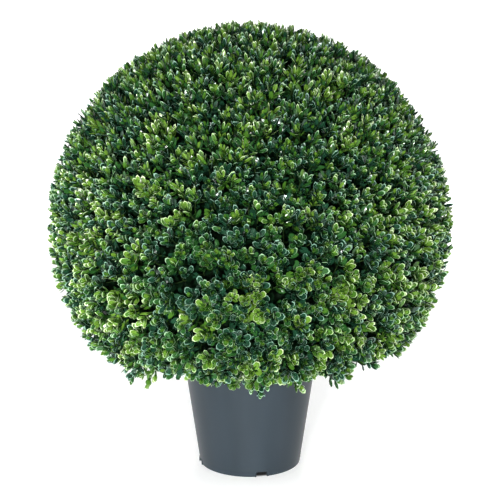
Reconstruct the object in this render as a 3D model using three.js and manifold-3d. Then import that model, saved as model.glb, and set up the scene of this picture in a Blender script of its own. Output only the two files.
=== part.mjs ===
// An artificial box ball in its pot, in millimetres, +Z up, with the pot's foot on z = 0 and its axis
// on the Z axis. One clipped ball of foliage sits close over a plain tapered pot, on a short post that is
// cast into the pot's filling. Nothing on it moves.
import * as THREE from "three";
import { mergeVertices } from "three/addons/utils/BufferGeometryUtils.js";
import Module from "manifold-3d";

const wasm = await Module();
wasm.setup();

// ---------- driving sizes ----------
const CLEAR = 0.3; // gap kept between two pieces that touch
const TURN = 2 * Math.PI;
const UP = new THREE.Vector3(0, 0, 1);

// pot
const POT_HEIGHT = 152;
const POT_FOOT_RADIUS = 64.2;
const POT_FLARE = 0.1465; // growth of the outer radius for each millimetre of height
const POT_WALL = 2.2;
const POT_SIDES = 64;
const FOOT_RING_WIDTH = 6; // flat ring that the pot stands on
const FLOOR_UNDERSIDE = 7.6; // the floor is raised over the foot ring
const FLOOR_THICKNESS = 2.4;
const RIM_DEPTH = 6; // rolled rim, seen from the side
const RIM_PROUD = 2.4;
const RIM_ROUNDING = 1.2;

// drain notches through the foot, each under a small hood
const NOTCH_COUNT = 4;
const NOTCH_TURN = THREE.MathUtils.degToRad(13); // first notch, from -Y towards +X
const NOTCH_WIDTH = 14;
const NOTCH_HEIGHT = 6.6;
const NOTCH_CORNER = 2;
const CORNER_STEPS = 3;
const HOOD_BORDER = 1.6;
const HOOD_PROUD = 1.2;
const HOOD_ROOT = 2; // how far the hood is sunk into the wall
const NOTCH_OVERCUT = 2; // how far the notch is cut past the hood

// filling and post
const FILL_LEVEL = 134;
const FILL_CROWN = 3; // rise of the filling from its edge to the post
const POST_FOOT_Z = 60;
const POST_TOP_Z = 262;
const POST_FOOT_RADIUS = 15;
const POST_TOP_RADIUS = 12;
const POST_SIDES = 16;

// ball
const BALL_CENTRE_Z = 308.4;
const REACH = 256; // furthest that a leaf tip lies from the centre
const CORE_RADIUS = 204;
const CORE_SIDES = 24;
const CORE_STEPS = 10;
const SKIRT_TOP_Z = 190; // under this height the ball draws in, in one slope, to the pot's rim
const FOLIAGE_FLOOR_Z = 156; // the trimmed underside of the foliage
const FRINGE_FLOOR_Z = 128; // where the sprigs that droop under it end
const POT_ROOM = 92; // nothing of the ball comes nearer to the pot's axis below the rim

// twigs and leaves
const TWIG_COUNT = 108; // spread evenly over a whole sphere, so the pot takes the place of some
const TWIG_ROOT_RADIUS = 3.8;
const TWIG_TIP_RADIUS = 1.2;
const TWIG_SUNK = 9;
const TWIG_LIFT = 0.22; // how far twigs turn up towards the light
const TWIG_WANDER = 0.16;
const TWIG_SHORTEST = 8;
const GROWTH_SPREAD = 0.12; // shortest twigs grow this share less than they could
const DROOPING_SHARE = 0.4; // share of the twigs that may hang below the trimmed underside
const LEAF_LENGTH = 46;
const LEAF_WIDTH = 32;
const LEAF_THICKNESS = 2;
const LEAF_BROADEST = 0.6; // share of the length, from the root, where the leaf is widest
const LEAF_SUNK = 0.8;
const LEAF_SPREAD = 0.08;
const PAIRS = [
  { place: 0.5, splay: THREE.MathUtils.degToRad(74), size: 0.92 },
  { place: 0.94, splay: THREE.MathUtils.degToRad(40), size: 1 },
];
const SEED = 21;

// sprigs that hang over the rim all round: their place from -Y towards +X, and how low they hang
const HANGING_SPRIGS = [
  { azimuth: 6, low: 113 },
  { azimuth: 43, low: 126 },
  { azimuth: 88, low: 120 },
  { azimuth: 133, low: 128 },
  { azimuth: 178, low: 117 },
  { azimuth: 224, low: 127 },
  { azimuth: 268, low: 121 },
  { azimuth: 330, low: 124 },
];
const HANGING_RADIUS = 97;
const HANGING_LEAN = THREE.MathUtils.degToRad(8); // outwards, away from the pot
const HANGING_SPLAY = THREE.MathUtils.degToRad(26);
const HANGING_SIZE = 0.7; // of the leaves, against those on the twigs

// ---------- helpers ----------
// A repeatable stream of numbers from 0 to 1.
function seededNumbers(seed) {
  let state = seed;
  return () => {
    state = (state * 1664525 + 1013904223) % 4294967296;
    return state / 4294967296;
  };
}

// The closed solid that a three.js geometry bounds.
function toSolid(geometry) {
  const bare = geometry.clone();
  bare.deleteAttribute("normal");
  bare.deleteAttribute("uv");
  const merged = mergeVertices(bare, 1e-4);
  const corners = merged.index.array;
  const kept = [];
  for (let i = 0; i < corners.length; i += 3) {
    const [a, b, c] = [corners[i], corners[i + 1], corners[i + 2]];
    if (a !== b && b !== c && c !== a) kept.push(a, b, c);
  }
  return new wasm.Manifold(
    new wasm.Mesh({
      numProp: 3,
      vertProperties: merged.attributes.position.array,
      triVerts: new Uint32Array(kept),
    })
  );
}

function toGeometry(solid) {
  const mesh = solid.getMesh();
  const geometry = new THREE.BufferGeometry();
  geometry.setAttribute("position", new THREE.BufferAttribute(mesh.vertProperties, 3));
  geometry.setIndex(new THREE.BufferAttribute(mesh.triVerts, 1));
  geometry.computeVertexNormals();
  return geometry;
}

// A body of revolution about +Z from [radius, z] points that start and end on the axis.
function turned(profile, sides) {
  const points = profile.map(([radius, z]) => new THREE.Vector2(radius, z));
  return new THREE.LatheGeometry(points, sides).rotateX(Math.PI / 2);
}

function potRadius(z) {
  return POT_FOOT_RADIUS + POT_FLARE * z;
}

function postRadius(z) {
  const share = (z - POST_FOOT_Z) / (POST_TOP_Z - POST_FOOT_Z);
  return POST_FOOT_RADIUS + (POST_TOP_RADIUS - POST_FOOT_RADIUS) * share;
}

// ---------- pot ----------
function potShell() {
  const floorTop = FLOOR_UNDERSIDE + FLOOR_THICKNESS;
  const rimFoot = POT_HEIGHT - RIM_DEPTH;
  const rimOut = potRadius(rimFoot) + RIM_PROUD;
  return turned(
    [
      [0, FLOOR_UNDERSIDE],
      [POT_FOOT_RADIUS - FOOT_RING_WIDTH, FLOOR_UNDERSIDE],
      [POT_FOOT_RADIUS - FOOT_RING_WIDTH, 0],
      [POT_FOOT_RADIUS, 0],
      [potRadius(rimFoot), rimFoot],
      [rimOut, rimFoot + RIM_ROUNDING],
      [rimOut, POT_HEIGHT - RIM_ROUNDING],
      [rimOut - RIM_ROUNDING, POT_HEIGHT],
      [potRadius(POT_HEIGHT) - POT_WALL, POT_HEIGHT],
      [potRadius(floorTop) - POT_WALL, floorTop],
      [0, floorTop],
    ],
    POT_SIDES
  );
}

// An upright block with round shoulders, standing on z = bottom, from one radius out to another.
function archBlock(width, height, corner, bottom, innerRadius, outerRadius, azimuth) {
  const half = width / 2;
  const outline = new THREE.Shape();
  outline.moveTo(-half, bottom);
  outline.lineTo(half, bottom);
  outline.lineTo(half, height - corner);
  outline.absarc(half - corner, height - corner, corner, 0, TURN / 4, false);
  outline.absarc(corner - half, height - corner, corner, TURN / 4, TURN / 2, false);
  outline.closePath();
  const block = new THREE.ExtrudeGeometry(outline, {
    depth: outerRadius - innerRadius,
    bevelEnabled: false,
    curveSegments: CORNER_STEPS,
  });
  // the outline stands upright, facing -Y, then goes round to its place
  return block.rotateX(Math.PI / 2).translate(0, -innerRadius, 0).rotateZ(azimuth);
}

function pot() {
  let solid = toSolid(potShell());
  const hoodWidth = NOTCH_WIDTH + 2 * HOOD_BORDER;
  const hoodHeight = NOTCH_HEIGHT + HOOD_BORDER;
  const hoodCorner = NOTCH_CORNER + HOOD_BORDER;
  const hoodInner = POT_FOOT_RADIUS - HOOD_ROOT;
  const hoodOuter = POT_FOOT_RADIUS + HOOD_PROUD;
  const notchInner = POT_FOOT_RADIUS - 2 * FOOT_RING_WIDTH;
  const notchOuter = hoodOuter + NOTCH_OVERCUT;
  const places = Array.from({ length: NOTCH_COUNT }, (_, i) => NOTCH_TURN + (i * TURN) / NOTCH_COUNT);
  for (const turn of places) {
    solid = solid.add(toSolid(archBlock(hoodWidth, hoodHeight, hoodCorner, 0, hoodInner, hoodOuter, turn)));
  }
  for (const turn of places) {
    const notch = archBlock(NOTCH_WIDTH, NOTCH_HEIGHT, NOTCH_CORNER, -CLEAR, notchInner, notchOuter, turn);
    solid = solid.subtract(toSolid(notch));
  }
  return toGeometry(solid);
}

// ---------- filling ----------
function potFilling() {
  const bottom = FLOOR_UNDERSIDE + FLOOR_THICKNESS + CLEAR;
  const socket = CLEAR + postRadius(FILL_LEVEL + FILL_CROWN);
  const besideWall = (z) => potRadius(z) - POT_WALL - CLEAR;
  return turned(
    [
      [0, bottom],
      [besideWall(bottom), bottom],
      [besideWall(FILL_LEVEL), FILL_LEVEL],
      [socket, FILL_LEVEL + FILL_CROWN],
      [CLEAR + postRadius(POST_FOOT_Z), POST_FOOT_Z - CLEAR],
      [0, POST_FOOT_Z - CLEAR],
    ],
    POT_SIDES
  );
}

// ---------- post ----------
function stem() {
  return turned(
    [
      [0, POST_FOOT_Z],
      [POST_FOOT_RADIUS, POST_FOOT_Z],
      [POST_TOP_RADIUS, POST_TOP_Z],
      [0, POST_TOP_Z],
    ],
    POST_SIDES
  );
}

// ---------- ball of foliage ----------
const SKIRT_ANGLE = Math.asin((SKIRT_TOP_Z - BALL_CENTRE_Z) / CORE_RADIUS);
const SKIRT_TOP_RADIUS = CORE_RADIUS * Math.cos(SKIRT_ANGLE);
const SKIRT_FOOT_Z = POT_HEIGHT + CLEAR;

// The core: a ball drawn in to the pot's rim underneath, with a blind socket that clears the post.
function core() {
  const profile = [
    [0, POST_TOP_Z + CLEAR],
    [POST_TOP_RADIUS + CLEAR, POST_TOP_Z + CLEAR],
    [postRadius(SKIRT_FOOT_Z) + CLEAR, SKIRT_FOOT_Z],
    [POT_ROOM, SKIRT_FOOT_Z],
  ];
  for (let i = 0; i <= CORE_STEPS; i++) {
    const angle = SKIRT_ANGLE + ((TURN / 4 - SKIRT_ANGLE) * i) / CORE_STEPS;
    const radius = i === CORE_STEPS ? 0 : CORE_RADIUS * Math.cos(angle);
    profile.push([radius, BALL_CENTRE_Z + CORE_RADIUS * Math.sin(angle)]);
  }
  return turned(profile, CORE_SIDES);
}

// A turn that brings +Z onto an axis, after rolling about it and leaning away from it by splay.
function turnOnto(axis, roll, splay = 0) {
  const aside = Math.abs(axis.z) < 0.95 ? UP : new THREE.Vector3(1, 0, 0);
  const side = new THREE.Vector3().crossVectors(aside, axis).normalize();
  const across = new THREE.Vector3().crossVectors(axis, side);
  const turn = new THREE.Matrix4().makeBasis(side, across, axis);
  turn.multiply(new THREE.Matrix4().makeRotationZ(roll));
  return turn.multiply(new THREE.Matrix4().makeRotationX(splay));
}

// A leaf from its root at the origin to its tip on +Z: flat on one side, keeled on the other, and
// broadest past its middle.
function leafBlade(size) {
  const length = LEAF_LENGTH * size;
  const blade = turned([[0, 0], [1, LEAF_BROADEST * length], [0, length]], 3);
  const acrossTriangle = Math.sqrt(3);
  const throughTriangle = 1.5;
  return blade.scale((LEAF_WIDTH * size) / acrossTriangle, LEAF_THICKNESS / throughTriangle, 1);
}

// Is every corner of a piece inside the ball, over its floor and clear of the pot?
function insideSpace(geometry, floorZ) {
  const points = geometry.attributes.position;
  const point = new THREE.Vector3();
  for (let i = 0; i < points.count; i++) {
    point.fromBufferAttribute(points, i);
    const fromAxis = Math.hypot(point.x, point.y);
    const fromCentre = Math.hypot(fromAxis, point.z - BALL_CENTRE_Z);
    const overPot = fromAxis < POT_ROOM && point.z < SKIRT_FOOT_Z;
    if (fromCentre > REACH || point.z < floorZ || overPot) return false;
  }
  return true;
}

// How far a ray from the centre runs before it leaves the core, through its round or its skirt.
function coreDepth(direction) {
  if (direction.z > Math.sin(SKIRT_ANGLE)) return CORE_RADIUS;
  const across = Math.hypot(direction.x, direction.y);
  const run = SKIRT_TOP_RADIUS - POT_ROOM;
  const rise = SKIRT_TOP_Z - SKIRT_FOOT_Z;
  const drop = BALL_CENTRE_Z - SKIRT_FOOT_Z;
  return (POT_ROOM * rise + drop * run) / (across * rise - direction.z * run);
}

// How far something held at an offset from the centre may move along an axis before it meets the
// reach or the floor.
function room(offset, axis, floorZ) {
  const along = axis.dot(offset);
  const toReach = Math.sqrt(along ** 2 + REACH ** 2 - offset.lengthSq()) - along;
  const toFloor = axis.z < 0 ? (offset.z + BALL_CENTRE_Z - floorZ) / -axis.z : REACH;
  return Math.min(toReach, toFloor);
}

// One twig with its decussate pairs of leaves: each pair stands across the one below it.
function twigWithLeaves(index, random) {
  const height = 1 - (2 * index) / (TWIG_COUNT - 1);
  const azimuth = index * Math.PI * (3 - Math.sqrt(5));
  const across = Math.sqrt(1 - height * height);
  const direction = new THREE.Vector3(across * Math.cos(azimuth), across * Math.sin(azimuth), height);
  const root = direction.clone().multiplyScalar(coreDepth(direction));
  const axis = direction.clone().addScaledVector(UP, TWIG_LIFT);
  for (const way of ["x", "y", "z"]) axis[way] += TWIG_WANDER * (random() - 0.5);
  axis.normalize();
  const roll = TURN * random();
  const growth = 1 - GROWTH_SPREAD * random();
  const floorZ = random() < DROOPING_SHARE ? FRINGE_FLOOR_Z : FOLIAGE_FLOOR_Z;
  const overPot = height < 0 && Math.hypot(root.x, root.y) < POT_ROOM + TWIG_ROOT_RADIUS;
  if (overPot) return [];

  const leaves = [];
  PAIRS.forEach(({ place, splay, size }, level) => {
    for (const half of [0, 1]) {
      const turn = turnOnto(axis, roll + (level * TURN) / 4 + (half * TURN) / 2, splay);
      leaves.push({ place, size: size * (1 - LEAF_SPREAD * random()), turn });
    }
  });
  // the twig grows until the first of its leaf tips would touch the reach or the floor
  const rooms = leaves.map(({ place, size, turn }) => {
    const tip = new THREE.Vector3(0, 0, LEAF_LENGTH * size).applyMatrix4(turn).add(root);
    return room(tip, axis, floorZ) / place;
  });
  const length = Math.max(growth * Math.min(...rooms), TWIG_SHORTEST);

  const centre = new THREE.Vector3(0, 0, BALL_CENTRE_Z);
  const twig = new THREE.CylinderGeometry(TWIG_TIP_RADIUS, TWIG_ROOT_RADIUS, length + TWIG_SUNK, 3, 1);
  twig.rotateX(Math.PI / 2).translate(0, 0, (length - TWIG_SUNK) / 2);
  twig.applyMatrix4(turnOnto(axis, roll).setPosition(root.clone().add(centre)));
  const blades = leaves.map(({ place, size, turn }) => {
    const foot = root.clone().addScaledVector(axis, place * length).add(centre);
    return leafBlade(size).translate(0, 0, -LEAF_SUNK).applyMatrix4(turn.setPosition(foot));
  });
  const kept = blades.filter((blade) => insideSpace(blade, floorZ));
  return kept.length > 0 ? [twig, ...kept] : [];
}

// A twig that hangs from the ball's underside just outside the pot's rim, with its last pair of leaves.
function hangingSprig({ azimuth, low }) {
  const angle = THREE.MathUtils.degToRad(azimuth);
  const sideways = new THREE.Vector3(Math.cos(angle), Math.sin(angle), 0);
  const outward = new THREE.Vector3(Math.sin(angle), -Math.cos(angle), 0);
  const root = outward.clone().multiplyScalar(HANGING_RADIUS).setZ(SKIRT_FOOT_Z);
  const hang = new THREE.Matrix4().makeBasis(sideways, outward, UP.clone().negate());
  hang.multiply(new THREE.Matrix4().makeRotationX(-HANGING_LEAN)).setPosition(root);

  const drop = (SKIRT_FOOT_Z - low) / Math.cos(HANGING_LEAN);
  const length = drop - LEAF_LENGTH * HANGING_SIZE * Math.cos(HANGING_SPLAY);
  const twig = new THREE.CylinderGeometry(TWIG_TIP_RADIUS, TWIG_ROOT_RADIUS, length + TWIG_SUNK, 3, 1);
  twig.rotateX(Math.PI / 2).translate(0, 0, (length - TWIG_SUNK) / 2).applyMatrix4(hang);
  const leaves = [-HANGING_SPLAY, HANGING_SPLAY].map((splay) => {
    const blade = leafBlade(HANGING_SIZE).translate(0, 0, -LEAF_SUNK).rotateY(splay);
    return blade.translate(0, 0, length).applyMatrix4(hang);
  });
  return [twig, ...leaves];
}

function foliageBall() {
  const random = seededNumbers(SEED);
  const pieces = [core()];
  for (let i = 0; i < TWIG_COUNT; i++) pieces.push(...twigWithLeaves(i, random));
  for (const sprig of HANGING_SPRIGS) pieces.push(...hangingSprig(sprig));
  const joined = wasm.Manifold.union(pieces.map(toSolid));
  const bodies = joined.decompose().sort((a, b) => b.volume() - a.volume());
  return toGeometry(bodies[0]);
}

// ---------- the assembly ----------
function part(name, geometry, colour, roughness) {
  const material = new THREE.MeshStandardMaterial({ color: colour, roughness, metalness: 0 });
  const mesh = new THREE.Mesh(geometry, material);
  mesh.name = name;
  return mesh;
}

const topiary = new THREE.Group();
topiary.add(
  part("pot", pot(), 0x56626a, 0.42),
  part("pot_filling", potFilling(), 0x6e6a62, 0.95),
  part("stem", stem(), 0x5b4632, 0.85),
  part("foliage_ball", foliageBall(), 0x35552f, 0.55)
);

export default topiary;
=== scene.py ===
# Looks of an artificial box ball in its pot: moulded leaves on branching sprigs, a ribbed inner
# ball, a barked post, a cement filling and a satin plastic pot. Metres, +Z up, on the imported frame.
import math
from collections import namedtuple

import bpy
import numpy as np
from mathutils import Matrix, Vector


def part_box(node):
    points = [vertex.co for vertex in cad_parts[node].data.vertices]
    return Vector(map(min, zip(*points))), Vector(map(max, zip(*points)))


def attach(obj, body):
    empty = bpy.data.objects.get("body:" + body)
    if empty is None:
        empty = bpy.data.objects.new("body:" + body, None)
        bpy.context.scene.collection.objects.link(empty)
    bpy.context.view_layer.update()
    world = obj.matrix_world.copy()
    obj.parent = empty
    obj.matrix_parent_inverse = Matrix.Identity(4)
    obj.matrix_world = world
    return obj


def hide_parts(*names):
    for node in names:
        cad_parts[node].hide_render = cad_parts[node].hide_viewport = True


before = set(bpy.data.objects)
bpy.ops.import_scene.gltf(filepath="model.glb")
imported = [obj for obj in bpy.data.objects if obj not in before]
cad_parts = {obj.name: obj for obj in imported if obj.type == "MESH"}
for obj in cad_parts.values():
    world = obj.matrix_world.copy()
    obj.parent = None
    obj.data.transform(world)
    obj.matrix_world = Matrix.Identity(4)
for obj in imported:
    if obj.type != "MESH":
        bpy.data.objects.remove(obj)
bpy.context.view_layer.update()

MM = 0.001
TURN = 2 * math.pi
UP = Vector((0, 0, 1))
GOLDEN_ANGLE = math.pi * (3 - math.sqrt(5))

# ---------- places taken from the frame ----------
POT_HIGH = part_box("pot")[1]
FILL_LOW, FILL_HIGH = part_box("pot_filling")
STEM_LOW, STEM_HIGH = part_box("stem")
BALL_LOW, BALL_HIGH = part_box("foliage_ball")
REACH = min(BALL_HIGH.x, -BALL_LOW.x, BALL_HIGH.y, -BALL_LOW.y)
CENTRE = Vector((0, 0, BALL_HIGH.z - REACH))

# ---------- driving sizes ----------
# pot
POT_HEIGHT = POT_HIGH.z
FOOT_RADIUS = 64.2 * MM
POT_FLARE = 0.1465
POT_WALL = 2.2 * MM
FOOT_RING = 6 * MM
FLOOR_UNDERSIDE = 7.6 * MM
FLOOR_TOP = 10 * MM
RIM_DEPTH = 6 * MM
RIM_SLOPE = 0.6 * MM
EDGE_ROUNDING = 1.2 * MM
POT_SIDES = 192
NOTCH_COUNT = 4
NOTCH_TURN = math.radians(13)
NOTCH_WIDTH = 14 * MM
NOTCH_HEIGHT = 6.6 * MM
NOTCH_CORNER = 2 * MM
NOTCH_MARGIN = 1 * MM  # how far the cut runs past the faces that it opens
LIP_BORDER = 1.6 * MM
LIP_PROUD = 1.1 * MM
LIP_ROOT = 2 * MM
LIP_BOTTOM = 0.4 * MM
CUT_RINGS = (10 * MM, 12 * MM, 14 * MM)  # keep the notches' edges from marking the wall above

# filling
FILL_GAP = 0.3 * MM
FILL_CROWN = 3 * MM
FILL_RINGS = 26
FILL_SIDES = 96
LUMP_DEPTH = 0.7 * MM
LUMP_ZONE = 4 * MM

# post
POST_TAPER = 3 * MM
POST_RINGS = 60
POST_SIDES = 48
BARK_RIDGES = 9
BARK_DEPTH = 0.6 * MM
BARK_ROOM = 0.9 * MM  # how far inside the post's size the ridges' middle lies

# inner ball
CORE_RADIUS = 204 * MM
CORE_STEPS = 72
CORE_SIDES = 144
SKIRT_TOP_Z = 190 * MM
SKIRT_FOOT_Z = POT_HEIGHT + 0.3 * MM
POT_ROOM = 92 * MM
SOCKET_GAP = 0.2 * MM
RIB_COUNT = 24
RIB_HEIGHT = 2.2 * MM
RIB_ROOM = 2.5 * MM
RIB_SHARPNESS = 16

# ball's outline
CLIP_WAVE = 2.6 * MM
TIP_ROOM = 0.8 * MM  # what a curled tip needs inside the reach
UNDERSIDE_Z = 163 * MM
UNDERSIDE_WAVE = 5 * MM  # how much higher it is at front and back, and lower at the sides
DROOPING_SHARE = 0.14
DROOP = 7 * MM

# sprigs
SEED = 73
SPRIG_COUNT = 2000
SPRIG_LIFT = 0.5
SPRIG_WANDER = 0.36
SPRIG_STRAY = 0.05  # how far its azimuth strays
SPRIG_ROOT = 3 * MM
SPRIG_FORK = 9 * MM
ROOT_RADIUS, FORK_RADIUS, TIP_RADIUS = 2.0 * MM, 1.3 * MM, 0.7 * MM
SECTORS = 6  # slices that the leaves are joined in

# shoots and leaves: values for the ball's lower half, and for its upper half
UPPER_FROM, UPPER_SPAN = -0.15, 0.6  # height, from -1 to 1, at which one passes into the other
LOWER_SHOOTS, UPPER_SHOOTS = 2.4, 3.2  # shoots to a sprig, on average
LOWER_STRAY, UPPER_STRAY = 0.5, 0.75  # how far a shoot's direction strays
LOWER_WIDTH, UPPER_WIDTH = 1.24, 0.82  # leaf widths, against those of PAIRS
LOWER_LENGTH, UPPER_LENGTH = 1.08, 1.15  # leaf lengths, likewise
# the pale rims, partly a painted highlight, stay on more leaves below than above
LOWER_PLAIN, UPPER_PLAIN = 0.06, 0.52  # share of the leaves on RIMMED_PAIRS without a rim

# shoots: each size that varies is its least and a share, from 0 to 1, of its range
SHOOT_AHEAD = 24 * MM
SHOOT_SPREAD = 11 * MM
SPREAD_LEAST, SPREAD_RANGE = 0.75, 0.5
SHOOT_ROUND_STRAY = 0.5
TILT_ASIDE, TILT_UP = 0.22, 0.08
SHOOT_SHORTEST = 14 * MM
SIZE_LEAST, SIZE_RANGE = 0.82, 0.42
GROWTH_SPREAD = 13 * MM
GROWTH_POWER = 1.6
SHORT_SHARE = 0.3  # share of the shoots that stay behind among the others
SHORT_BY = 10 * MM

# sprigs that hang from the underside: azimuth from -Y towards +X, radius, how low they hang
HANGING_SPRIGS = (
    (6, 97, 113), (43, 97, 126), (88, 97, 120), (133, 97, 128), (178, 97, 117), (224, 97, 127),
    (268, 97, 121), (330, 97, 124), (70, 150, 142), (124, 158, 136), (160, 140, 141),
    (203, 155, 138), (247, 160, 135), (292, 150, 143), (305, 164, 131), (312, 155, 129),
)
HANGING_ROOT = 2 * MM
HANGING_LEAN = math.radians(8)
HANGING_FAN = ((-0.28, 9 * MM), (0.05, 1 * MM), (0.34, 12 * MM))  # sideways lean, shorter by
HANGING_FACE = 0.5  # how far its leaves turn outwards

# pairs of leaves on a shoot, from its tip down: distance under the tip, splay, length, width
PAIRS = (
    (0.0 * MM, math.radians(18), 7.5 * MM, 3.2 * MM),
    (2.4 * MM, math.radians(34), 10.0 * MM, 4.4 * MM),
    (5.6 * MM, math.radians(47), 11.5 * MM, 5.2 * MM),
    (9.6 * MM, math.radians(56), 12.0 * MM, 5.6 * MM),
    (14.6 * MM, math.radians(62), 12.0 * MM, 5.6 * MM),
    (20.6 * MM, math.radians(66), 12.0 * MM, 5.6 * MM),
)
TIP_SPLAY, TIP_LEAF = PAIRS[0][1], PAIRS[0][2]
PAIR_TONES = (2, 1, 0, 0, 0, -1)
RIMMED_PAIRS = (1, 2, 3)  # pairs whose leaves may show their rims
LEAF_ROUND_STRAY, LEAF_SPLAY_STRAY = 0.6, 0.5
LEAF_LEAST, LEAF_RANGE = 0.82, 0.36

# old leaves on a sprig below its fork: how far along it, and their splay, length and width
OLD_PAIRS = (0.35, 0.8)
OLD_LEAF = (math.radians(66), 14 * MM, 9 * MM)


# ---------- node trees ----------
class Value:
    """A socket of a material's nodes, so that shader maths reads as plain Python."""

    def __init__(self, nodes, socket):
        self.nodes = nodes
        self.socket = socket

    def _math(self, operation, first, second):
        return self.nodes.add("ShaderNodeMath", {"operation": operation}, {0: first, 1: second})

    def __add__(self, other):
        return self._math("ADD", self, other)

    def __sub__(self, other):
        return self._math("SUBTRACT", self, other)

    def __rsub__(self, other):
        return self._math("SUBTRACT", other, self)

    def __mul__(self, other):
        return self._math("MULTIPLY", self, other)

    __radd__ = __add__
    __rmul__ = __mul__

    def clamp(self):
        return self.nodes.add("ShaderNodeClamp", {}, {"Value": self})


class Nodes:
    """The node tree of one new material."""

    def __init__(self, name):
        self.material = bpy.data.materials.new(name)
        self.material.use_nodes = True
        self.tree = self.material.node_tree
        self.surface = self.tree.nodes["Principled BSDF"]

    def add(self, kind, settings, inputs, output=0):
        node = self.tree.nodes.new(kind)
        for name, setting in settings.items():
            setattr(node, name, setting)
        for name, value in inputs.items():
            self.feed(node.inputs[name], value)
        return Value(self, node.outputs[output])

    def feed(self, socket, value):
        if isinstance(value, Value):
            self.tree.links.new(value.socket, socket)
        else:
            socket.default_value = value

    def place(self):
        return self.add("ShaderNodeTexCoord", {}, {}, "Object")

    def noise(self, scale, detail, stretch=(1, 1, 1)):
        spot = self.add("ShaderNodeMapping", {}, {"Vector": self.place(), "Scale": stretch})
        inputs = {"Vector": spot, "Scale": scale, "Detail": detail}
        return self.add("ShaderNodeTexNoise", {}, inputs)

    def mix(self, factor, first, second):
        inputs = {"Factor": factor, 6: first, 7: second}
        return self.add("ShaderNodeMix", {"data_type": "RGBA"}, inputs, 2)

    def bump(self, height, distance, strength):
        inputs = {"Height": height, "Distance": distance, "Strength": strength}
        return self.add("ShaderNodeBump", {}, inputs)

    def finish(self, **sockets):
        for name, value in sockets.items():
            self.feed(self.surface.inputs[name.replace("_", " ")], value)
        return self.material


def colour(red, green, blue):
    """A colour as the eye reads it on screen, 0 to 255, in the linear values of a shader."""

    def linear(level):
        share = level / 255
        return share / 12.92 if share <= 0.04045 else ((share + 0.055) / 1.055) ** 2.4

    return (linear(red), linear(green), linear(blue), 1)


def grey(level):
    """A grey in the linear values of a shader, 0 to 1."""
    return (level, level, level, 1)


# ---------- finishes ----------
def pot_plastic():
    nodes = Nodes("satin_slate_plastic")
    cloud = nodes.noise(scale=9, detail=3)
    streak = nodes.noise(scale=32, detail=3, stretch=(1, 1, 0.06))
    grain = nodes.noise(scale=1400, detail=2)
    tint = nodes.mix(cloud * 0.3 + streak * 0.7, colour(19, 26, 30), colour(38, 47, 54))
    return nodes.finish(
        Base_Color=tint,
        Roughness=0.34 + streak * 0.1,
        Specular_IOR_Level=0.24,
        Normal=nodes.bump(grain, distance=0.04 * MM, strength=0.5),
    )


def cast_cement():
    nodes = Nodes("cast_cement")
    patches = nodes.noise(scale=40, detail=6)
    sand = nodes.noise(scale=700, detail=4)
    tint = nodes.mix(patches, colour(92, 86, 78), colour(134, 128, 118))
    return nodes.finish(
        Base_Color=tint,
        Roughness=0.86 + sand * 0.12,
        Normal=nodes.bump(sand + patches, distance=0.8 * MM, strength=0.8),
    )


def bark():
    nodes = Nodes("ridged_bark")
    ridge = nodes.noise(scale=60, detail=6, stretch=(1, 1, 0.12))
    flake = nodes.noise(scale=220, detail=4, stretch=(1, 1, 0.4))
    tint = nodes.mix(ridge * 0.7 + flake * 0.3, colour(52, 38, 28), colour(122, 98, 74))
    return nodes.finish(
        Base_Color=tint,
        Roughness=0.8 + flake * 0.15,
        Normal=nodes.bump(ridge + flake * 0.4, distance=1.5 * MM, strength=0.8),
    )


def inner_plastic():
    nodes = Nodes("inner_ball_plastic")
    mottle = nodes.noise(scale=30, detail=4)
    # dark plastic, darkened further to near black as painted shade in the gaps between sprigs
    tint = nodes.mix(mottle, colour(5, 12, 6), colour(10, 24, 11))
    return nodes.finish(Base_Color=tint, Roughness=0.7 + mottle * 0.2, Specular_IOR_Level=0.05)


def leaf_finish(name, tone, roughness, shine):
    """One plain tone of moulded leaf; the tones are dealt out sprig by sprig."""
    return Nodes(name).finish(Base_Color=tone, Roughness=roughness, Specular_IOR_Level=shine)


# painted shade at the root, then blade, and pale rim (partly a painted highlight) of each tone,
# darkest first
LEAF_TONES = (
    # the darkest tone is painted shade, for leaves deep inside the ball
    ("painted_shade", colour(3, 9, 4), colour(5, 17, 7), colour(11, 31, 13)),
    ("deep", colour(5, 16, 8), colour(19, 49, 32), colour(104, 134, 119)),
    ("green", colour(8, 26, 9), colour(31, 67, 28), colour(122, 151, 119)),
    ("fresh", colour(15, 39, 9), colour(52, 87, 26), colour(146, 169, 124)),
    ("young", colour(28, 54, 13), colour(78, 110, 36), colour(170, 186, 146)),
)
# parts of a leaf: its root, darkened as painted shade, its blade, and its pale rim, partly a painted
# highlight
ROOT_SHADE, BLADE, RIM_AND_HIGHLIGHT = 0, 1, 2
PARTS_OF_LEAF = 3
LEAF_SHINE = 0.6
SPRIG_TONES = (1, 1, 1, 1, 2, 2, 3)
# painted light: a share of the lower half's sprigs is one tone lighter, to lift the less lit
# underside
PAINTED_LIFT_BELOW = 0.35  # share of the lower half's sprigs that are one tone lighter
SHOOT_TONES = (-1, -1, 0, 0, 1, 1)  # how a shoot may differ from its sprig


def leaf_finishes():
    finishes = []
    for name, base, blade, rim in LEAF_TONES:
        shine = 0 if name == "painted_shade" else LEAF_SHINE
        # the base finish is painted shade at the leaf's root
        finishes.append(leaf_finish(f"leaf_{name}_base", base, roughness=0.6, shine=0))
        finishes.append(leaf_finish(f"leaf_{name}_blade", blade, roughness=0.2, shine=shine))
        # the rim finish is a pale edge tint and partly a painted highlight
        finishes.append(leaf_finish(f"leaf_{name}_rim", rim, roughness=0.3, shine=shine))
    return finishes


# ---------- making pieces ----------
def piece(name, mesh, finishes, node=None):
    """A finished piece of the object, which may stand for a CAD node."""
    made = bpy.data.objects.new(name, mesh)
    bpy.context.scene.collection.objects.link(made)
    for finish in finishes:
        made.data.materials.append(finish)
    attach(made, "root")
    if node:
        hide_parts(node)
    return made


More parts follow.
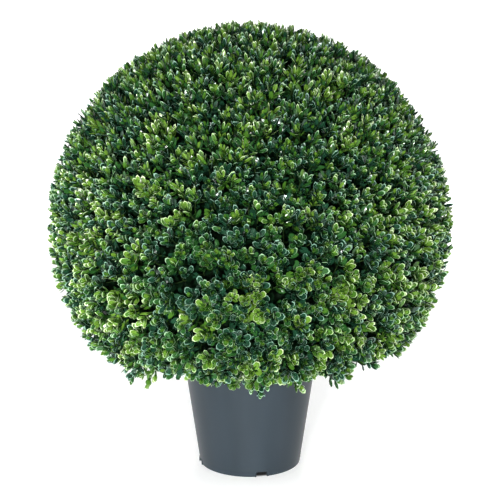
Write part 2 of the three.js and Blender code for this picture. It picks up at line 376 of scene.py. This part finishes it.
def shell(name, corners, faces, tones=None, smooth=True):
    """A mesh from corners and faces, whose tones are the places of their finishes."""
    mesh = bpy.data.meshes.new(name)
    mesh.from_pydata(corners, [], faces)
    if tones is not None:
        mesh.polygons.foreach_set("material_index", np.asarray(tones, dtype=np.int32))
    mesh.polygons.foreach_set("use_smooth", np.full(len(mesh.polygons), smooth))
    mesh.update()
    return mesh


def turned(name, profile, sides, relief=None):
    """A body of revolution about +Z; relief(angle, radius, z) moves a corner out from the axis."""
    corners = []
    rings = []
    for radius, z in profile:
        if radius == 0:
            rings.append([len(corners)] * sides)
            corners.append((0, 0, z))
            continue
        rings.append(list(range(len(corners), len(corners) + sides)))
        for i in range(sides):
            angle = TURN * i / sides
            out = radius + (relief(angle, radius, z) if relief else 0)
            corners.append((out * math.cos(angle), out * math.sin(angle), z))
    faces = []
    for below, above in zip(rings, rings[1:]):
        for i in range(sides):
            j = (i + 1) % sides
            loop = [below[i], below[j], above[j], above[i]]
            face = [corner for k, corner in enumerate(loop) if corner != loop[k - 1]]
            if len(face) > 2:
                faces.append(face)
    return shell(name, corners, faces)


def rounded(profile, radius, steps=4):
    """The profile with each inner corner turned into an arc of about this radius."""
    points = [Vector(point) for point in profile]
    smooth = [profile[0]]
    for before, corner, after in zip(points, points[1:], points[2:]):
        back = min(radius, (before - corner).length * 0.45)
        ahead = min(radius, (after - corner).length * 0.45)
        start = corner + (before - corner).normalized() * back
        end = corner + (after - corner).normalized() * ahead
        for i in range(steps + 1):
            t = i / steps
            smooth.append(tuple(start * (1 - t) ** 2 + corner * 2 * t * (1 - t) + end * t**2))
    smooth.append(profile[-1])
    return smooth


def pot_radius(z):
    return FOOT_RADIUS + POT_FLARE * z


def arch_block(name, width, height, corner, bottom, inner, outer, turn):
    """An upright block with round shoulders, from one radius out to another."""
    half = width / 2
    steps = 4
    outline = [(-half, bottom), (half, bottom)]
    for side, start in ((1, 0), (-1, TURN / 4)):
        for i in range(steps + 1):
            angle = start + TURN / 4 * i / steps
            across = side * (half - corner) + corner * math.cos(angle)
            outline.append((across, height - corner + corner * math.sin(angle)))
    count = len(outline)
    round_pot = Matrix.Rotation(turn, 3, "Z")
    corners = [round_pot @ Vector((x, -radius, z)) for radius in (outer, inner) for x, z in outline]
    faces = [list(range(count)), list(range(2 * count - 1, count - 1, -1))]
    faces += [[i, i + count, (i + 1) % count + count, (i + 1) % count] for i in range(count)]
    made = bpy.data.objects.new(name, shell(name, corners, faces, smooth=False))
    bpy.context.scene.collection.objects.link(made)
    return made


def joined_or_cut(body, tools, operation):
    """The body's mesh after each tool is joined to it or cut from it; the tools are used up."""
    for tool in tools:
        change = body.modifiers.new(tool.name, "BOOLEAN")
        change.operation = operation
        change.solver = "EXACT"
        change.object = tool
    graph = bpy.context.evaluated_depsgraph_get()
    changed = bpy.data.meshes.new_from_object(body.evaluated_get(graph))
    body.modifiers.clear()
    body.data = changed
    for tool in tools:
        bpy.data.objects.remove(tool)


# ---------- pot ----------
def make_pot():
    """The tapered wall, raised floor, foot ring and rim, with hooded drain notches in the foot."""
    rim_foot = POT_HEIGHT - RIM_DEPTH
    rim_out = POT_HIGH.x
    profile = [
        (0, FLOOR_UNDERSIDE),
        (FOOT_RADIUS - FOOT_RING, FLOOR_UNDERSIDE),
        (FOOT_RADIUS - FOOT_RING, 0),
        (FOOT_RADIUS, 0),
        *((pot_radius(z), z) for z in CUT_RINGS),
        (pot_radius(rim_foot), rim_foot),
        (rim_out, rim_foot + RIM_SLOPE),
        (rim_out, POT_HEIGHT),
        (pot_radius(POT_HEIGHT) - POT_WALL, POT_HEIGHT),
        (pot_radius(FLOOR_TOP) - POT_WALL, FLOOR_TOP),
        (0, FLOOR_TOP),
    ]
    body = turned("pot_shell", rounded(profile, EDGE_ROUNDING), POT_SIDES)
    pot = piece("pot_shell", body, [pot_plastic()], "pot")
    turns = [NOTCH_TURN + TURN * i / NOTCH_COUNT for i in range(NOTCH_COUNT)]
    outer = FOOT_RADIUS + LIP_PROUD
    lips = [
        arch_block(
            f"lip_{i}",
            width=NOTCH_WIDTH + 2 * LIP_BORDER,
            height=NOTCH_HEIGHT + LIP_BORDER,
            corner=NOTCH_CORNER + LIP_BORDER,
            bottom=LIP_BOTTOM,
            inner=FOOT_RADIUS - LIP_ROOT,
            outer=outer,
            turn=turn,
        )
        for i, turn in enumerate(turns)
    ]
    joined_or_cut(pot, lips, "UNION")
    notches = [
        arch_block(
            f"notch_{i}",
            width=NOTCH_WIDTH,
            height=NOTCH_HEIGHT,
            corner=NOTCH_CORNER,
            bottom=-NOTCH_MARGIN,
            inner=FOOT_RADIUS - 2 * FOOT_RING,
            outer=outer + NOTCH_MARGIN,
            turn=turn,
        )
        for i, turn in enumerate(turns)
    ]
    joined_or_cut(pot, notches, "DIFFERENCE")


# ---------- filling and post ----------
def lump(x, y):
    """The uneven top of the filling, from -1 to 1, as waves that cross each other."""
    return math.sin(x * 310 + 2 * math.sin(y * 170)) * math.sin(y * 270 + x * 90)


def make_filling():
    """Cast cement up to a little under the pot's rim, lumpy on top, with a socket for the post."""
    socket = STEM_HIGH.x
    edge = FILL_HIGH.x
    top = []
    for i in range(FILL_RINGS + 1):
        inwards = i / FILL_RINGS
        top.append((edge + (socket - edge) * inwards, FILL_HIGH.z - FILL_CROWN * (1 - inwards)))
    foot = (pot_radius(FILL_LOW.z) - POT_WALL - FILL_GAP, FILL_LOW.z)
    profile = [(0, FILL_LOW.z), foot, *top, (socket, STEM_LOW.z), (0, STEM_LOW.z)]
    body = turned("cement_filling", profile, FILL_SIDES)
    for corner in body.vertices:
        x, y, z = corner.co
        if z > FILL_HIGH.z - LUMP_ZONE:
            corner.co.z -= LUMP_DEPTH * (1 + lump(x, y))
    piece("cement_filling", body, [cast_cement()], "pot_filling")


def make_stem():
    """The post: a tapering stick with bark in long, wandering ridges."""

    def relief(angle, radius, z):
        ridge = math.sin(BARK_RIDGES * angle + 9 * math.sin(z * 40))
        flake = 0.5 * math.sin(17 * angle - z * 160)
        return BARK_DEPTH * (ridge + flake) - BARK_ROOM

    foot, top = STEM_LOW.z, STEM_HIGH.z
    side = []
    for i in range(POST_RINGS + 1):
        upwards = i / POST_RINGS
        side.append((STEM_HIGH.x - POST_TAPER * upwards, foot + (top - foot) * upwards))
    post = turned("post", [(0, foot), *side, (0, top)], POST_SIDES, relief)
    piece("post", post, [bark()], "stem")


# ---------- inner ball ----------
SKIRT_ANGLE = math.asin((SKIRT_TOP_Z - CENTRE.z) / CORE_RADIUS)
SKIRT_TOP_RADIUS = CORE_RADIUS * math.cos(SKIRT_ANGLE)
SKIRT_RUN = SKIRT_TOP_RADIUS - POT_ROOM
SKIRT_RISE = SKIRT_TOP_Z - SKIRT_FOOT_Z


def core_depth(direction):
    """How far a ray from the centre runs to leave the inner ball, through its round or skirt."""
    if direction.z > math.sin(SKIRT_ANGLE):
        return CORE_RADIUS
    across = math.hypot(direction.x, direction.y)
    drop = CENTRE.z - SKIRT_FOOT_Z
    return (POT_ROOM * SKIRT_RISE + drop * SKIRT_RUN) / (
        across * SKIRT_RISE - direction.z * SKIRT_RUN
    )


def rib(angle):
    """How far a rib stands out at an angle round the ball, or down it."""
    return RIB_HEIGHT * math.cos(RIB_COUNT * angle / 2) ** RIB_SHARPNESS


def make_inner_ball():
    """The closed moulded ball that carries the sprigs, with raised ribs round and down it."""
    socket = STEM_HIGH.x + SOCKET_GAP
    socket_top = STEM_HIGH.z + SOCKET_GAP

    def relief(angle, radius, z):
        return rib(angle) - RIB_ROOM if radius > socket else 0

    profile = [
        (0, socket_top),
        (socket, socket_top),
        (socket, SKIRT_FOOT_Z),
        (POT_ROOM, SKIRT_FOOT_Z),
    ]
    for i in range(CORE_STEPS + 1):
        angle = SKIRT_ANGLE + (TURN / 4 - SKIRT_ANGLE) * i / CORE_STEPS
        out = CORE_RADIUS + rib(angle)
        radius = 0 if i == CORE_STEPS else out * math.cos(angle)
        profile.append((radius, CENTRE.z + (out - RIB_ROOM) * math.sin(angle)))
    core = turned("inner_ball", profile, CORE_SIDES, relief)
    piece("inner_ball", core, [inner_plastic()], "foliage_ball")


# ---------- sprigs ----------
def seeded_numbers(seed):
    """A repeatable stream of numbers from 0 to 1."""
    state = seed
    while True:
        state = (state * 1664525 + 1013904223) % 2**32
        yield state / 2**32


def either_way(draw):
    """The next number of the stream, from -0.5 to 0.5."""
    return next(draw) - 0.5


def any_way(draw):
    """A vector of the next three numbers of the stream, each from -0.5 to 0.5."""
    return Vector([either_way(draw) for _ in range(3)])


def dealt(choices, draw):
    """The choice that the next number of the stream falls on."""
    return choices[int(len(choices) * next(draw))]


def turn_onto(axis, roll, splay=0.0):
    """A turn that brings +Z onto an axis, after rolling about it and leaning away by splay."""
    nearly_upright = abs(axis.z) >= 0.95
    aside = Vector((1, 0, 0)) if nearly_upright else UP
    side = aside.cross(axis).normalized()
    across = axis.cross(side)
    turn = Matrix((side, across, axis)).transposed()
    return turn @ Matrix.Rotation(roll, 3, "Z") @ Matrix.Rotation(splay, 3, "X")


def clipped_reach(direction):
    """The clipped outline's radius, which waves gently over the ball."""
    wave = (
        math.sin(9 * direction.x + 2 * direction.z + 1.0)
        + math.sin(8 * direction.y - 5 * direction.z + 2.3)
        + math.sin(11 * direction.z + 6 * direction.x - 0.7)
    )
    return REACH - TIP_ROOM - CLIP_WAVE * (1 - wave / 3) / 2


def room(offset, axis, reach, floor_z):
    """How far a tip at an offset from the centre may move along an axis, to the reach or floor."""
    along = axis.dot(offset)
    inside = along**2 + reach**2 - offset.length_squared
    to_reach = math.sqrt(max(inside, 0)) - along
    falls = axis.z < -0.05
    to_floor = (offset.z + CENTRE.z - floor_z) / -axis.z if falls else REACH
    return min(to_reach, to_floor)


def sector_of(direction):
    """Which slice round the ball's axis a direction points into."""
    return int((math.atan2(direction.y, direction.x) / TURN + 0.5) * SECTORS) % SECTORS


def clear_of_pot(spot):
    """Is this offset from the centre outside the pot and the space over it?"""
    return math.hypot(spot.x, spot.y) > POT_ROOM or spot.z + CENTRE.z > SKIRT_FOOT_Z


def between(lower, upper, share):
    """The value this share of the way from the lower half's to the upper half's."""
    return lower + (upper - lower) * share


Leaf = namedtuple("Leaf", "foot turn length width tone sector rimmed")


class Foliage:
    """Leaves and twigs gathered sprig by sprig, then made into joined meshes."""

    def __init__(self):
        self.leaves = []
        self.twigs = []

    def leaf(self, foot, turn, length, width, tone, sector, rimmed=False):
        tip = foot + turn @ Vector((0, 0, length))
        if tip.length < REACH - TIP_ROOM and tip.z > BALL_LOW.z - CENTRE.z and clear_of_pot(tip):
            self.leaves.append(Leaf(foot, turn, length, width, tone, sector, rimmed))

    def twig(self, start, end, start_radius, end_radius):
        self.twigs.append((start, end, start_radius, end_radius))


def leafy_shoot(foliage, start, axis, lean, length, size, upper, roll, tone, sector, draw):
    """A shoot with pairs of leaves down from its tip, where each pair stands across the next."""
    tip = start + lean * length
    lengths = size * between(LOWER_LENGTH, UPPER_LENGTH, upper)
    widths = size * between(LOWER_WIDTH, UPPER_WIDTH, upper)
    plain_share = between(LOWER_PLAIN, UPPER_PLAIN, upper)
    foliage.twig(start, tip, FORK_RADIUS, TIP_RADIUS)
    for level, (under, splay, leaf_length, leaf_width) in enumerate(PAIRS):
        if under > length:
            break
        foot = tip - lean * under
        width = leaf_width * widths
        leaf_tone = min(max(tone + PAIR_TONES[level], 0), len(LEAF_TONES) - 1)
        for half in (0, 1):
            around = roll + level * TURN / 4 + half * TURN / 2 + LEAF_ROUND_STRAY * either_way(draw)
            turn = turn_onto(axis, around, splay + LEAF_SPLAY_STRAY * either_way(draw))
            growth = next(draw)
            long = leaf_length * lengths * (LEAF_LEAST + LEAF_RANGE * growth)
            rimmed = level in RIMMED_PAIRS and growth > plain_share
            foliage.leaf(foot, turn, long, width, leaf_tone, sector, rimmed)


def grow_shoot(foliage, start, axis, lean, reach, floor_z, upper, tone, sector, draw):
    """A shoot that grows until its tip leaves would touch the reach or the floor."""
    roll = TURN * next(draw)
    size = SIZE_LEAST + SIZE_RANGE * next(draw)
    tone = max(tone + dealt(SHOOT_TONES, draw), 1)
    shorter = GROWTH_SPREAD * next(draw) ** GROWTH_POWER
    if next(draw) < SHORT_SHARE:
        shorter += SHORT_BY
    tip_leaf = Vector((0, 0, TIP_LEAF * size * between(LOWER_LENGTH, UPPER_LENGTH, upper)))
    rooms = []
    for half in (0, 1):
        turn = turn_onto(axis, roll + half * TURN / 2, TIP_SPLAY)
        rooms.append(room(start + turn @ tip_leaf, lean, reach, floor_z))
    length = max(min(rooms) - shorter, SHOOT_SHORTEST)
    if clear_of_pot(start + lean * length):
        leafy_shoot(foliage, start, axis, lean, length, size, upper, roll, tone, sector, draw)


def hang_sprig(foliage, azimuth, radius, low, draw):
    """A sprig that hangs from the inner ball's skirt, with a fan of shoots."""
    sideways = Vector((math.cos(azimuth), math.sin(azimuth), 0))
    outward = Vector((math.sin(azimuth), -math.cos(azimuth), 0))
    sector = sector_of(outward)
    skirt_z = SKIRT_FOOT_Z + SKIRT_RISE * (radius - POT_ROOM) / SKIRT_RUN
    root = outward * radius + UP * (skirt_z + HANGING_ROOT - CENTRE.z)
    tone = dealt(SPRIG_TONES, draw)
    for side, shorter in HANGING_FAN:
        lean = (outward * math.sin(HANGING_LEAN) - UP + sideways * side).normalized()
        length = (root.z + CENTRE.z - low - shorter) / -lean.z - TIP_LEAF
        axis = (lean + outward * HANGING_FACE).normalized()
        roll = TURN * next(draw)
        leafy_shoot(foliage, root, axis, lean, length, 1.0, 0.0, roll, tone, sector, draw)


def grow_old_leaves(foliage, root, axis, roll, sector):
    """The broad leaves on a sprig's twig below its fork, in the darkest tone: painted shade."""
    splay, length, width = OLD_LEAF
    for level, place in enumerate(OLD_PAIRS):
        for half in (0, 1):
            turn = turn_onto(axis, roll + level * TURN / 4 + half * TURN / 2, splay)
            foliage.leaf(root + axis * SPRIG_FORK * place, turn, length, width, 0, sector)


def grow_sprig(foliage, index, draw):
    """A sprig: one twig out of the inner ball, forking into shoots."""
    height = 1 - 2 * index / (SPRIG_COUNT - 1)
    azimuth = index * GOLDEN_ANGLE + SPRIG_STRAY * either_way(draw)
    across = math.sqrt(1 - height * height)
    direction = Vector((across * math.cos(azimuth), across * math.sin(azimuth), height))
    root = direction * core_depth(direction)
    axis = (direction + UP * SPRIG_LIFT + any_way(draw) * SPRIG_WANDER).normalized()
    roll = TURN * next(draw)
    floor_z = UNDERSIDE_Z + UNDERSIDE_WAVE * (direction.y**2 - direction.x**2)
    if next(draw) < DROOPING_SHARE:
        floor_z -= DROOP
    tone = dealt(SPRIG_TONES, draw)
    upper = min(max((height - UPPER_FROM) / UPPER_SPAN, 0), 1)
    shoots = int(between(LOWER_SHOOTS, UPPER_SHOOTS, upper) + next(draw))
    if height < 0 and math.hypot(root.x, root.y) < POT_ROOM:
        return
    sector = sector_of(direction)
    fork = root + axis * SPRIG_FORK
    foliage.twig(root - axis * SPRIG_ROOT, fork, ROOT_RADIUS, FORK_RADIUS)
    grow_old_leaves(foliage, root, axis, roll, sector)
    reach = clipped_reach(direction)
    # painted light on the lower half
    tone += next(draw) < PAINTED_LIFT_BELOW * (1 - upper)
    for shoot in range(shoots):
        around = roll + TURN * shoot / shoots + SHOOT_ROUND_STRAY * either_way(draw)
        apart = SHOOT_SPREAD * (SPREAD_LEAST + SPREAD_RANGE * next(draw))
        aside = turn_onto(axis, around) @ Vector((apart, 0, 0))
        lean = (axis * SHOOT_AHEAD + aside).normalized()
        stray = any_way(draw) * between(LOWER_STRAY, UPPER_STRAY, upper)
        tilt = (axis + aside / apart * TILT_ASIDE + UP * TILT_UP + stray).normalized()
        grow_shoot(foliage, fork, tilt, lean, reach, floor_z, upper, tone, sector, draw)


# ---------- leaf and twig meshes ----------
# half of a leaf's outline from its root to its tip: share of the half width, share of the length
LEAF_OUTLINE = ((0.42, 0.24), (0.98, 0.57), (0.76, 0.86))
LEAF_MIDDLE = 0.58  # where the blade is deepest, as a share of the length
LEAF_CUP = 0.42  # how far the rim stands over the middle, as a share of the half width
CUP_POWER = 0.75
LEAF_CURL = 0.2  # how far the tip turns up, as a share of the length
# the rim is widest at the tip, where its painted highlight of light caught on the cupped edge is
# strongest
RIM_SHARE = 0.25  # how wide the rim is at the tip; it narrows towards the leaf's sides
RIM_NARROWING = 3
RIM_FROM = 2  # the outline's corner at which the rim begins, and ends on the other side
TWIG_SIDES = 3


def leaf_pattern(rimmed):
    """Corners and faces of one leaf: a cupped blade, with a pale rim round its tip half if rimmed,
    partly a painted highlight.
    """
    other_half = [(-across, along) for across, along in reversed(LEAF_OUTLINE)]
    outline = np.array([(0, 0), *LEAF_OUTLINE, (0, 1), *other_half])
    middle = np.array((0, LEAF_MIDDLE))
    narrowing = outline[:, 1:] ** RIM_NARROWING
    inner = middle + (outline - middle) * (1 - RIM_SHARE * narrowing)
    flat = np.vstack((outline, inner, middle)) if rimmed else np.vstack((outline, middle))
    from_middle = (flat - middle) / (1, 0.5)
    cup = LEAF_CUP * (from_middle**2).sum(axis=1) ** CUP_POWER
    corners = np.column_stack((flat[:, 0], cup, flat[:, 1]))
    count = len(outline)
    last = len(flat) - 1
    faces, parts = [], []
    for i in range(count):
        j = (i + 1) % count
        near_root = i in (0, count - 1)
        edge = (i, j)
        if rimmed and not near_root:
            edge = tuple(
                corner + count if RIM_FROM <= corner <= count - RIM_FROM else corner
                for corner in edge
            )
            # rim faces take the pale rim tone, partly a painted highlight
            for triangle in ((i, j, edge[1]), (i, edge[1], edge[0])):
                if len(set(triangle)) == 3:
                    faces.append(triangle)
                    parts.append(RIM_AND_HIGHLIGHT)
        faces.append((*edge, last))
        # faces by the leaf's root take the dark base tone: painted shade
        parts.append(ROOT_SHADE if near_root else BLADE)
    return corners, np.array(faces), np.array(parts)


def leaf_arrays(leaves, rimmed):
    """Corners, faces and face tones of many leaves of one pattern."""
    pattern, pattern_faces, parts = leaf_pattern(rimmed)
    feet = np.array([leaf.foot + CENTRE for leaf in leaves])
    turns = np.array([leaf.turn for leaf in leaves])
    length = np.array([leaf.length for leaf in leaves])
    half_width = np.array([leaf.width for leaf in leaves]) / 2
    tones = np.array([leaf.tone for leaf in leaves])
    local = pattern[None, :, :] * np.column_stack((half_width, half_width, length))[:, None, :]
    local[:, :, 1] += LEAF_CURL * length[:, None] * pattern[None, :, 2] ** 2
    corners = np.einsum("nij,nkj->nki", turns, local) + feet[:, None, :]
    starts = np.arange(len(leaves)) * len(pattern)
    faces = pattern_faces[None, :, :] + starts[:, None, None]
    face_tones = PARTS_OF_LEAF * tones[:, None] + parts[None, :]
    return corners.reshape(-1, 3), faces.reshape(-1, 3), face_tones.reshape(-1)


def leaf_mesh(name, leaves):
    """One joined mesh of leaves, each face carrying its leaf's root tone (painted shade), blade tone
    or rim tone (pale edge, partly a painted highlight).
    """
    with_rims = leaf_arrays([leaf for leaf in leaves if leaf.rimmed], rimmed=True)
    plain = leaf_arrays([leaf for leaf in leaves if not leaf.rimmed], rimmed=False)
    corners = np.vstack([with_rims[0], plain[0]])
    faces = np.vstack([with_rims[1], plain[1] + len(with_rims[0])])
    return shell(name, corners, faces, np.concatenate([with_rims[2], plain[2]]))


def twig_mesh(name, twigs):
    """One joined mesh of three-sided tapering twigs."""
    corners, faces = [], []
    for start, end, start_radius, end_radius in twigs:
        turn = turn_onto((end - start).normalized(), 0)
        base = len(corners)
        for centre, radius in ((start, start_radius), (end, end_radius)):
            for i in range(TWIG_SIDES):
                angle = TURN * i / TWIG_SIDES
                spoke = turn @ Vector((radius * math.cos(angle), radius * math.sin(angle), 0))
                corners.append(centre + spoke + CENTRE)
        for i in range(TWIG_SIDES):
            j = (i + 1) % TWIG_SIDES
            faces.append((base + i, base + j, base + TWIG_SIDES + j, base + TWIG_SIDES + i))
    return shell(name, corners, faces)


def make_foliage():
    """All the sprigs, as one piece of leaves to each slice of the ball and one of twigs."""
    foliage = Foliage()
    draw = seeded_numbers(SEED)
    for index in range(SPRIG_COUNT):
        grow_sprig(foliage, index, draw)
    for azimuth, radius, low in HANGING_SPRIGS:
        hang_sprig(foliage, math.radians(azimuth), radius * MM, low * MM, draw)
    finishes = leaf_finishes()
    for sector in range(SECTORS):
        mine = [leaf for leaf in foliage.leaves if leaf.sector == sector]
        piece(f"leaves_{sector + 1}", leaf_mesh(f"leaves_{sector + 1}", mine), finishes)
    twig_finish = leaf_finish("twig_plastic", colour(26, 40, 18), roughness=0.6, shine=0)
    piece("twigs", twig_mesh("twigs", foliage.twigs), [twig_finish])


# ---------- studio ----------
CAMERA_PLACE = (0, -1.4633, 0.54935)
CAMERA_PITCH = math.radians(79.4)
CAMERA_LENS = 85.46
CAMERA_SENSOR = 36

FLOOR_SIDES = 96
FLOOR_NEAR = 1.0
FLOOR_FLAT = 3.2
FLOOR_SWEEP = 1.6
SWEEP_STEPS = 12
WALL_TOP = 2.6
# the dark under the pot's foot is a painted shadow
FOOT_SHADE_FADE = 150  # how fast the dark under the pot's foot gives way, per metre

SKY_STRENGTH = 0.1


def make_camera():
    lens = bpy.data.cameras.new("camera")
    lens.lens = CAMERA_LENS
    lens.sensor_width = CAMERA_SENSOR
    camera = bpy.data.objects.new("camera", lens)
    camera.location = CAMERA_PLACE
    camera.rotation_euler = (CAMERA_PITCH, 0, 0)
    bpy.context.scene.collection.objects.link(camera)
    bpy.context.scene.camera = camera


def make_lamp(name, place, size, power, aim=(0, 0, 0.3), spread=180):
    """A round soft lamp that faces its aim; a spread under 180 degrees narrows its light."""
    lamp = bpy.data.lights.new(name, "AREA")
    lamp.shape = "DISK"
    lamp.size = size
    lamp.energy = power
    lamp.spread = math.radians(spread)
    made = bpy.data.objects.new(name, lamp)
    made.location = place
    ray = Vector(aim) - Vector(place)
    made.rotation_euler = ray.to_track_quat("-Z", "Y").to_euler()
    bpy.context.scene.collection.objects.link(made)


def pale_floor():
    """A pale floor with a painted shadow, dark and without glow, inside the pot's foot ring, and
    which glows more away from the plant.
    """
    nodes = Nodes("pale_floor")
    from_axis = nodes.add(
        "ShaderNodeVectorMath", {"operation": "LENGTH"}, {0: nodes.place()}, "Value"
    )
    outside_painted_shadow = ((from_axis - (FOOT_RADIUS - FOOT_RING)) * FOOT_SHADE_FADE).clamp()
    far_off = (from_axis - FLOOR_NEAR).clamp()
    glow = nodes.mix(far_off, grey(0.46), grey(1))
    return nodes.finish(
        # painted shadow inside the foot ring: dark base colour and no glow
        Base_Color=nodes.mix(outside_painted_shadow, grey(0.02), grey(0.8)),
        Roughness=0.9,
        Emission_Color=nodes.mix(outside_painted_shadow, grey(0), glow),
        Emission_Strength=0.8,
    )


def make_floor():
    """A round floor that sweeps up into a low wall all round."""
    profile = [(0, 0), (FLOOR_NEAR, 0), (FLOOR_FLAT, 0)]
    for i in range(1, SWEEP_STEPS + 1):
        angle = TURN / 4 * i / SWEEP_STEPS
        out = FLOOR_FLAT + FLOOR_SWEEP * math.sin(angle)
        profile.append((out, FLOOR_SWEEP * (1 - math.cos(angle))))
    profile.append((FLOOR_FLAT + FLOOR_SWEEP, WALL_TOP))
    floor = bpy.data.objects.new("studio_floor", turned("studio_floor", profile, FLOOR_SIDES))
    bpy.context.scene.collection.objects.link(floor)
    floor.data.materials.append(pale_floor())


def make_studio():
    make_camera()
    make_floor()
    world = bpy.data.worlds.new("studio")
    world.use_nodes = True
    sky = world.node_tree.nodes["Background"]
    sky.inputs["Color"].default_value = grey(1)
    sky.inputs["Strength"].default_value = SKY_STRENGTH
    bpy.context.scene.world = world
    make_lamp("key", place=(0.2, -1.6, 2.3), size=0.3, power=13.5)
    make_lamp(
        "front_left",
        place=(-0.4, -2.45, 0.26),
        size=0.3,
        power=5.6,
        aim=(-0.12, 0, 0.14),
        spread=34,
    )
    make_lamp("front_right", place=(0.3, -2.35, 0.8), size=0.35, power=25)
    make_lamp("back", place=(0.2, 2.6, 1.2), size=0.4, power=30)
    bpy.context.scene.view_settings.view_transform = "Standard"


make_studio()
make_pot()
make_filling()
make_stem()
make_inner_ball()
make_foliage()
